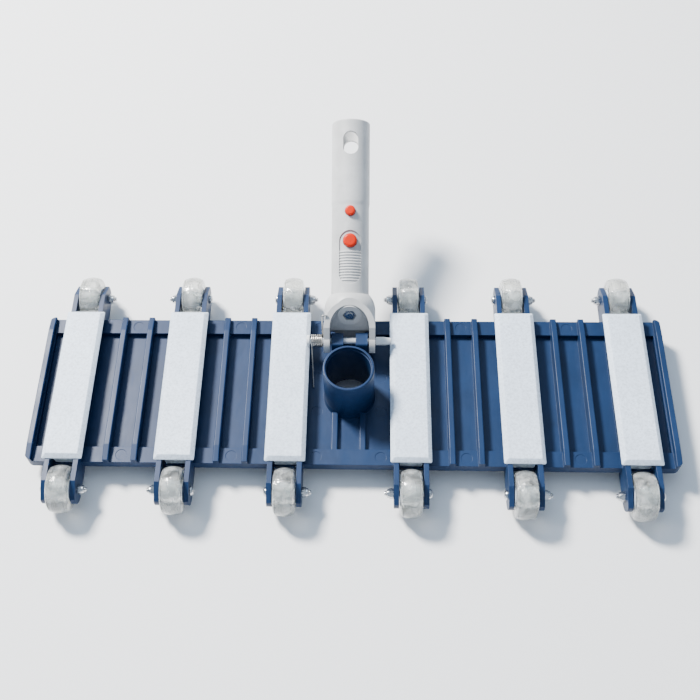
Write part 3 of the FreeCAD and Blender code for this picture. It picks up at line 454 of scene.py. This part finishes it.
class VACUUMHEAD_OT_weights(bpy.types.Operator):
    """Build the six coated weights"""
    bl_idname = "vacuum_head.weights"
    bl_label = "Weights"

    def execute(self, context):
        coat = powder_coat("weight_coating", tuple(colours().weights))
        for number in BARS:
            node = "weight_%d" % number
            piece = add_object("coated_%s" % node, self.mesh(node), coat, 50.0)
            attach(piece, "deck")
            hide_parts(node)
        return {"FINISHED"}

    def mesh(self, node):
        low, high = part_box(node)
        centre = (low + high) / 2
        half_x, half_y = (high.x - low.x) / 2, (high.y - low.y) / 2
        p = sizes()
        seat = high.z - p.weight_cap
        block_x = half_x - p.weight_block_gap
        block_y = half_y - p.weight_block_end
        draft = 0.5 * MM
        side = rounded([(block_x - draft, low.z, 0), (block_x, seat, 0), (half_x, seat, 0.25 * MM),
                        (half_x, seat + p.weight_lip, p.edge_round * 0.5),
                        (half_x - p.weight_bevel, high.z, p.edge_round), (0, high.z, 0)])
        # one ring on the flat top, close to its edge, keeps the shading flat
        side[-1] = (side[-2][0] - 2 * MM, high.z)
        bm = bmesh.new()
        rings = []
        for x, z in side:
            on_cap = z > seat - TINY and x > block_x + TINY
            y = half_y - (half_x - x) if on_cap else block_y - (block_x - x)
            corner = max(0.3 * MM, 1.2 * MM - (half_x - x) * 0.3)
            rings.append([bm.verts.new((centre.x + a, centre.y + b, z))
                          for a, b in rounded_rectangle(x, y, corner)])
        join_rings(bm, rings)
        bm.faces.new(rings[0])
        bm.faces.new(rings[-1])
        return bm


class VACUUMHEAD_OT_tyres(bpy.types.Operator):
    """Build the twelve translucent tyres"""
    bl_idname = "vacuum_head.tyres"
    bl_label = "Tyres"

    def execute(self, context):
        plastic = clear_tyre_plastic("tyre_clear", tuple(colours().tyres))
        for name in WHEELS:
            bm = bmesh.new()
            turn_about_x(bm, self.profile("tyre_" + name), middle("tyre_" + name), TYRE_SEGMENTS)
            piece = add_object("moulded_tyre_" + name, bm, plastic)
            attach(piece, "wheel_" + name)
            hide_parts("tyre_" + name)
        return {"FINISHED"}

    def profile(self, node):
        low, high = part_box(node)
        half, radius = (high.x - low.x) / 2, (high.z - low.z) / 2
        p = sizes()
        groove_x = half - p.side_groove
        small = 0.15 * MM
        side = [(0, p.tyre_bore_r, 0), (p.tyre_seat_x, p.tyre_bore_r, 0),
                (p.tyre_seat_x, p.tyre_seat_r, 0), (half - 0.3 * MM, p.tyre_seat_r, 0),
                (half, p.tyre_seat_r + 0.4 * MM, 0.2 * MM), (half, 10.0 * MM, small),
                (groove_x, 10.2 * MM, small), (groove_x, 11.0 * MM, small),
                (half, 11.2 * MM, small), (half, p.tyre_side_r, 0)]
        points = rounded(side, 3)
        # shoulder from the side up to the tread's edge, a fine line there, then the crowned tread
        edge_r = radius - p.tread_drop
        points += quarter(p.tread_half, p.tyre_side_r,
                          half - p.tread_half, edge_r - p.tyre_side_r, 8)[1:]
        points.append((p.tread_half - 0.25 * MM, edge_r - 0.18 * MM))
        for k in range(9):
            share = 1 - k / 8
            points.append(((p.tread_half - 0.5 * MM) * share, radius - p.tread_drop * 0.8 * share ** 2))
        return mirrored_about_middle(points)


class VACUUMHEAD_OT_hubs(bpy.types.Operator):
    """Build the twelve wheel hubs"""
    bl_idname = "vacuum_head.hubs"
    bl_label = "Hubs"

    def execute(self, context):
        plastic = moulded_plastic("hub_white", tuple(colours().hubs), rough=0.3, wear=0.1)
        for name in WHEELS:
            bm = bmesh.new()
            turn_about_x(bm, self.profile("hub_" + name), middle("hub_" + name), HUB_SEGMENTS)
            piece = add_object("turned_hub_" + name, bm, plastic)
            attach(piece, "wheel_" + name)
            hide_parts("hub_" + name)
        return {"FINISHED"}

    def profile(self, node):
        low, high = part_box(node)
        half, rim = (high.x - low.x) / 2, (high.z - low.z) / 2
        p = sizes()
        rim_x, face = half - p.hub_rim, half - 0.35 * MM
        small = 0.2 * MM
        side = [(0, p.hub_r, 0), (rim_x, p.hub_r, 0), (rim_x, rim, small), (face, rim, 0.3 * MM),
                (face, 4.6 * MM, small), (half, 4.2 * MM, small), (half, 2.5 * MM, small),
                (half - 0.4 * MM, p.hub_bore_r, 0), (0, p.hub_bore_r, 0)]
        return mirrored_about_middle(rounded(side, 3))


class VACUUMHEAD_OT_wheel_bolts(bpy.types.Operator):
    """Build the wheel bolts with their threads, and the locking nuts"""
    bl_idname = "vacuum_head.wheel_bolts"
    bl_label = "Wheel bolts and nuts"

    def execute(self, context):
        steel = bright_metal("stainless_steel", tuple(colours().steel), rough=0.2, brush=(3, 1, 1))
        bolts, nuts = bmesh.new(), bmesh.new()
        for name in WHEELS:
            centre = middle("hub_" + name)
            side = -1 if int(name[-1]) % 2 else 1
            turn_about_x(bolts, self.bolt(side), centre, BOLT_SEGMENTS, closed=False)
            turn_about_x(nuts, self.nut(-side), centre, NUT_SEGMENTS)
        for name, bm, node in (("threaded_wheel_bolts", bolts, "axle_bolts"),
                               ("locking_nuts", nuts, "axle_nuts")):
            piece = add_object(name, bm, steel, 28.0)
            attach(piece, "deck")
            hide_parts(node)
        paint(steel, "weight_screws", "yoke_screw", "latch_rivet")
        return {"FINISHED"}

    def bolt(self, side):
        """From the recess in the rounded head, over the head, along the shank to the tip."""
        p = sizes()
        top = p.fork_half + p.head_height
        tip = p.fork_half + p.nut_height + p.bolt_past_nut
        root, crest = p.shank_r - p.thread_depth, p.shank_r - 0.02 * MM
        crown_r = 1.9 * MM
        brim = 0.5 * MM
        profile = [(top - 1.3 * MM, 1.2 * MM, p.socket_flats),
                   (top - 0.15 * MM, 1.25 * MM, p.socket_flats), (top, 1.6 * MM)]
        profile += quarter(p.fork_half + brim, crown_r, p.head_height - brim, p.head_r - crown_r, 6)
        profile += [(p.fork_half, p.head_r - 0.1 * MM), (p.fork_half, p.shank_r),
                    (-p.fork_half + 1.0 * MM, p.shank_r)]
        x, pitch = -p.fork_half, p.thread_pitch
        while x > -tip + pitch:
            profile += [(x, root), (x - pitch * 0.45, crest), (x - pitch * 0.6, crest)]
            x -= pitch
        profile += [(x, root), (-tip, p.shank_r - 0.6 * MM)]
        return [(side * point[0], *point[1:]) for point in profile]

    def nut(self, side):
        """Hexagon with chamfered corners, and a round collar over the locking ring."""
        p = sizes()
        seat, end = p.fork_half, p.fork_half + p.nut_height
        hexagon = end - 1.7 * MM
        chamfer_r = 3.55 * MM
        profile = [(seat, p.nut_bore_r), (seat, chamfer_r, p.nut_flats),
                   (seat + 0.35 * MM, p.nut_corner_r, p.nut_flats),
                   (hexagon - 0.55 * MM, p.nut_corner_r, p.nut_flats),
                   (hexagon, chamfer_r, p.nut_flats), (hexagon, p.collar_r)]
        rim_x, rim_r = end - p.collar_round, p.collar_r - p.collar_round
        profile += [(rim_x + rise, rim_r + out)
                    for out, rise in quarter(0, 0, p.collar_round, p.collar_round, 6)]
        profile += [(end, p.nut_bore_r + 0.25 * MM), (end - 0.3 * MM, p.nut_bore_r)]
        return [(side * point[0], *point[1:]) for point in profile]


class VACUUMHEAD_OT_torsion_spring(bpy.types.Operator):
    """Build the torsion spring's wire, coiled round the hinge pin"""
    bl_idname = "vacuum_head.torsion_spring"
    bl_label = "Torsion spring"

    def execute(self, context):
        wire = bright_metal("spring_wire", tuple(colours().spring), rough=0.26, brush=(0.4, 4, 4))
        p = sizes()
        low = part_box("torsion_spring")[0]
        coil_start = low.x + p.wire_r
        yoke_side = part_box("yoke")[0].x
        coil_end = yoke_side - 0.5 * MM - p.wire_r
        path = self.path(coil_start, coil_end, low)
        piece = add_object("wound_torsion_spring", self.tube(path, p.wire_r), wire, 60.0)
        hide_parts("torsion_spring")
        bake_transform(piece)
        return {"FINISHED"}

    def path(self, start_x, end_x, low):
        """The wire's middle line: lower leg, coil, upper leg and its hook."""
        radius = sizes().coil_r
        whole_turns, steps_per_turn = 6, 40
        foot = Vector((start_x + 1.9 * MM, low.y + 0.3 * MM, low.z + 0.6 * MM))
        hook_w, hook_v = sizes().hook_w, self.hook_v()
        bend = on_handle(end_x, hook_w, hook_v)
        tip = on_handle(end_x + sizes().hook_length, hook_w, hook_v)
        first = self.tangent(foot, radius, 1)
        last = self.tangent(bend, radius, -1)
        turns = whole_turns + ((last - first) / (2 * math.pi)) % 1
        count = int(turns * steps_per_turn)
        coil = []
        for k in range(count + 1):
            share = k / count
            angle = first + 2 * math.pi * turns * share
            coil.append(Vector((start_x + (end_x - start_x) * share,
                                PIN.y + radius * math.cos(angle), PIN.z + radius * math.sin(angle))))
        lower = [foot + (coil[0] - foot) * k / 12 for k in range(12)]
        rise = [coil[-1] + (bend - coil[-1]) * k / 12 for k in range(1, 12)]
        hook = self.corner(rise[-1], bend, tip)
        return lower + coil + rise + hook

    def hook_v(self):
        """How far in front of the pin the wire crosses the arm, from the spring's own box."""
        corners = [Vector(v.co) - PIN for v in frame["nodes"]["torsion_spring"].data.vertices]
        return max(-INWARD.dot(c) for c in corners if ALONG.dot(c) > 10 * MM) - sizes().wire_r

    def tangent(self, point, radius, sign):
        """The angle round the pin where a straight leg to point leaves the coil."""
        dy, dz = point.y - PIN.y, point.z - PIN.z
        return math.atan2(dz, dy) + sign * math.acos(radius / math.hypot(dy, dz))

    def corner(self, before, bend, tip, radius=1.2 * MM):
        """The wire's bend over the arm, as a short arc, then straight to the tip."""
        a, b = (before - bend).normalized(), (tip - bend).normalized()
        points = []
        for k in range(7):
            share = k / 6
            points.append(bend + a * radius * (1 - share) ** 2 + b * radius * share ** 2)
        return points + [bend + (tip - bend) * s for s in (0.55, 0.8, 1.0)]

    def tube(self, path, radius, sides=14):
        """A round tube along path, without twist from one ring to the next."""
        bm = bmesh.new()
        rings = []
        side = Vector((1, 0, 0))
        for k, point in enumerate(path):
            ahead = (path[min(k + 1, len(path) - 1)] - path[max(k - 1, 0)]).normalized()
            side = (side - ahead * side.dot(ahead)).normalized()
            up = ahead.cross(side)
            rings.append([bm.verts.new(point + (side * math.cos(t) + up * math.sin(t)) * radius)
                          for t in (2 * math.pi * n / sides for n in range(sides))])
        join_rings(bm, rings)
        bm.faces.new(rings[0])
        bm.faces.new(rings[-1])
        return bm


class VACUUMHEAD_OT_latch_leaf(bpy.types.Operator):
    """Build the latch's leaf spring, thinned from its CAD stand-in and cut across"""
    bl_idname = "vacuum_head.latch_leaf"
    bl_label = "Latch leaf"

    def execute(self, context):
        bm = bmesh.new()
        bm.from_mesh(frame["nodes"]["latch_leaf"].data)
        top = max(-INWARD.dot(v.co) for v in bm.verts)
        for vertex in bm.verts:
            if -INWARD.dot(vertex.co) > top - 0.1 * MM:
                vertex.co += INWARD * sizes().leaf_relief
        free_end = self.along(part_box("lock_button"))
        start = free_end - sizes().leaf_reach
        # cross cuts divide the flat strip into short lengths
        cuts, cut_step = 39, 1.5 * MM
        for k in range(1, cuts + 1):
            bmesh.ops.bisect_plane(bm, geom=[*bm.verts, *bm.edges, *bm.faces],
                                   plane_co=on_handle(0, start + cut_step * k, 0), plane_no=ALONG)
        piece = add_object("bending_latch_leaf", bm, bpy.data.materials["spring_wire"])
        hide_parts("latch_leaf")
        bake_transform(piece)
        return {"FINISHED"}

    def along(self, box):
        """How far along the handle a box's middle lies, from the pin."""
        low, high = box
        return ((low + high) / 2 - PIN).dot(ALONG)


class VACUUMHEAD_OT_handle(bpy.types.Operator):
    """Finish the yoke, the handle tube and the hinge pin"""
    bl_idname = "vacuum_head.handle"
    bl_label = "Handle"

    def execute(self, context):
        grey, white = tuple(colours().handle), tuple(colours().pin)
        plastic = moulded_plastic("handle_grey", grey, rough=0.4, wear=0.15, grain=0.18)
        paint(plastic, "yoke", "handle_tube")
        paint(moulded_plastic("pin_nylon", white, rough=0.3, wear=0.1, coat=0.2), "hinge_pin")
        return {"FINISHED"}


class VACUUMHEAD_OT_buttons(bpy.types.Operator):
    """Finish the two latch buttons"""
    bl_idname = "vacuum_head.buttons"
    bl_label = "Buttons"

    def execute(self, context):
        orange = tuple(colours().buttons)
        plastic = moulded_plastic("button_orange", orange, rough=0.3, wear=0.1, shine=0.25)
        paint(plastic, "release_button", "lock_button")
        return {"FINISHED"}


class VACUUMHEAD_OT_stage(bpy.types.Operator):
    """Set up the floor, the lights and the camera"""
    bl_idname = "vacuum_head.stage"
    bl_label = "Stage"

    def execute(self, context):
        self.floor()
        self.lights()
        self.camera()
        return {"FINISHED"}

    def floor(self):
        bm = bmesh.new()
        bmesh.ops.create_grid(bm, x_segments=1, y_segments=1, size=6.0)
        s = Surface("studio_floor")
        pale = tuple(colours().floor)
        tint = s.blend_colours(s.spread(s.noise(3.0), 0.0, 1.0), shade(pale, 0.99), pale)
        floor = add_object("floor", bm, s.set(Roughness=0.9).finish(tint))
        floor.location.z = CAD_BOX[0][2] - 0.1 * MM

    def lights(self):
        world = bpy.context.scene.world or bpy.data.worlds.new("studio")
        bpy.context.scene.world = world
        world.use_nodes = True
        background = world.node_tree.nodes["Background"]
        background.inputs["Color"].default_value = (0.62, 0.78, 1.0, 1.0)
        background.inputs["Strength"].default_value = 0.55
        for name, place, size, power, tint in (
                ("key", (-1.2, 1.0, 1.8), 0.45, 190.0, (1.0, 0.98, 0.95)),
                ("front_fill", (0.6, -1.6, 1.3), 1.8, 3.5, (0.93, 0.96, 1.0)),
                ("top", (-0.3, 0.6, 2.2), 1.6, 16.0, (0.62, 0.80, 1.0))):
            data = bpy.data.lights.new(name, "AREA")
            data.size = size
            data.energy = power
            data.color = tint
            lamp = bpy.data.objects.new(name, data)
            lamp.location = place
            lamp.rotation_euler = (-Vector(place)).to_track_quat("-Z", "Y").to_euler()
            bpy.context.scene.collection.objects.link(lamp)

    def camera(self):
        """A camera in front of the head and above it, looking down by pitch, turned by yaw and roll."""
        place = (0.0167, -0.3800, 0.67125)
        pitch, yaw, roll = (math.radians(a) for a in (58.12, -6.12, -4.93))
        ahead = Vector((math.sin(yaw) * math.cos(pitch), math.cos(yaw) * math.cos(pitch),
                        -math.sin(pitch)))
        level = Vector((math.cos(yaw), -math.sin(yaw), 0.0))
        right = level * math.cos(roll) + level.cross(ahead) * math.sin(roll)
        up = right.cross(ahead)
        data = bpy.data.cameras.new("camera")
        data.lens = 53.98
        data.shift_x = 0.054
        data.shift_y = -0.0333
        camera = bpy.data.objects.new("camera", data)
        turned = Matrix((right, up, -ahead)).transposed().to_4x4()
        camera.matrix_world = Matrix.Translation(place) @ turned
        bpy.context.scene.collection.objects.link(camera)
        bpy.context.scene.camera = camera


OPERATORS = (VACUUMHEAD_OT_deck, VACUUMHEAD_OT_weights, VACUUMHEAD_OT_tyres, VACUUMHEAD_OT_hubs,
             VACUUMHEAD_OT_wheel_bolts, VACUUMHEAD_OT_torsion_spring,
             VACUUMHEAD_OT_latch_leaf, VACUUMHEAD_OT_handle, VACUUMHEAD_OT_buttons, VACUUMHEAD_OT_stage)


class VACUUMHEAD_PT_panel(bpy.types.Panel):
    """Lists the pieces and their settings"""
    bl_label = "Vacuum head"
    bl_idname = "VACUUMHEAD_PT_panel"
    bl_space_type = "VIEW_3D"
    bl_region_type = "UI"
    bl_category = "Vacuum head"

    def draw(self, context):
        settings = context.scene.vacuum_head
        for group in (settings.colours, settings.sizes):
            column = self.layout.column(align=True)
            for key in group.__annotations__:
                column.prop(group, key)
        for operator in OPERATORS:
            self.layout.operator(operator.bl_idname)


CLASSES = (VacuumHeadColours, VacuumHeadSizes, VacuumHeadSettings, *OPERATORS, VACUUMHEAD_PT_panel)


def register():
    for cls in CLASSES:
        bpy.utils.register_class(cls)
    bpy.types.Scene.vacuum_head = bpy.props.PointerProperty(type=VacuumHeadSettings)


def unregister():
    del bpy.types.Scene.vacuum_head
    for cls in reversed(CLASSES):
        bpy.utils.unregister_class(cls)


def main():
    register()
    for name in ("deck", "weights", "tyres", "hubs", "wheel_bolts", "torsion_spring", "latch_leaf",
                 "handle", "buttons", "stage"):
        getattr(bpy.ops.vacuum_head, name)()


if __name__ == "__main__":
    main()
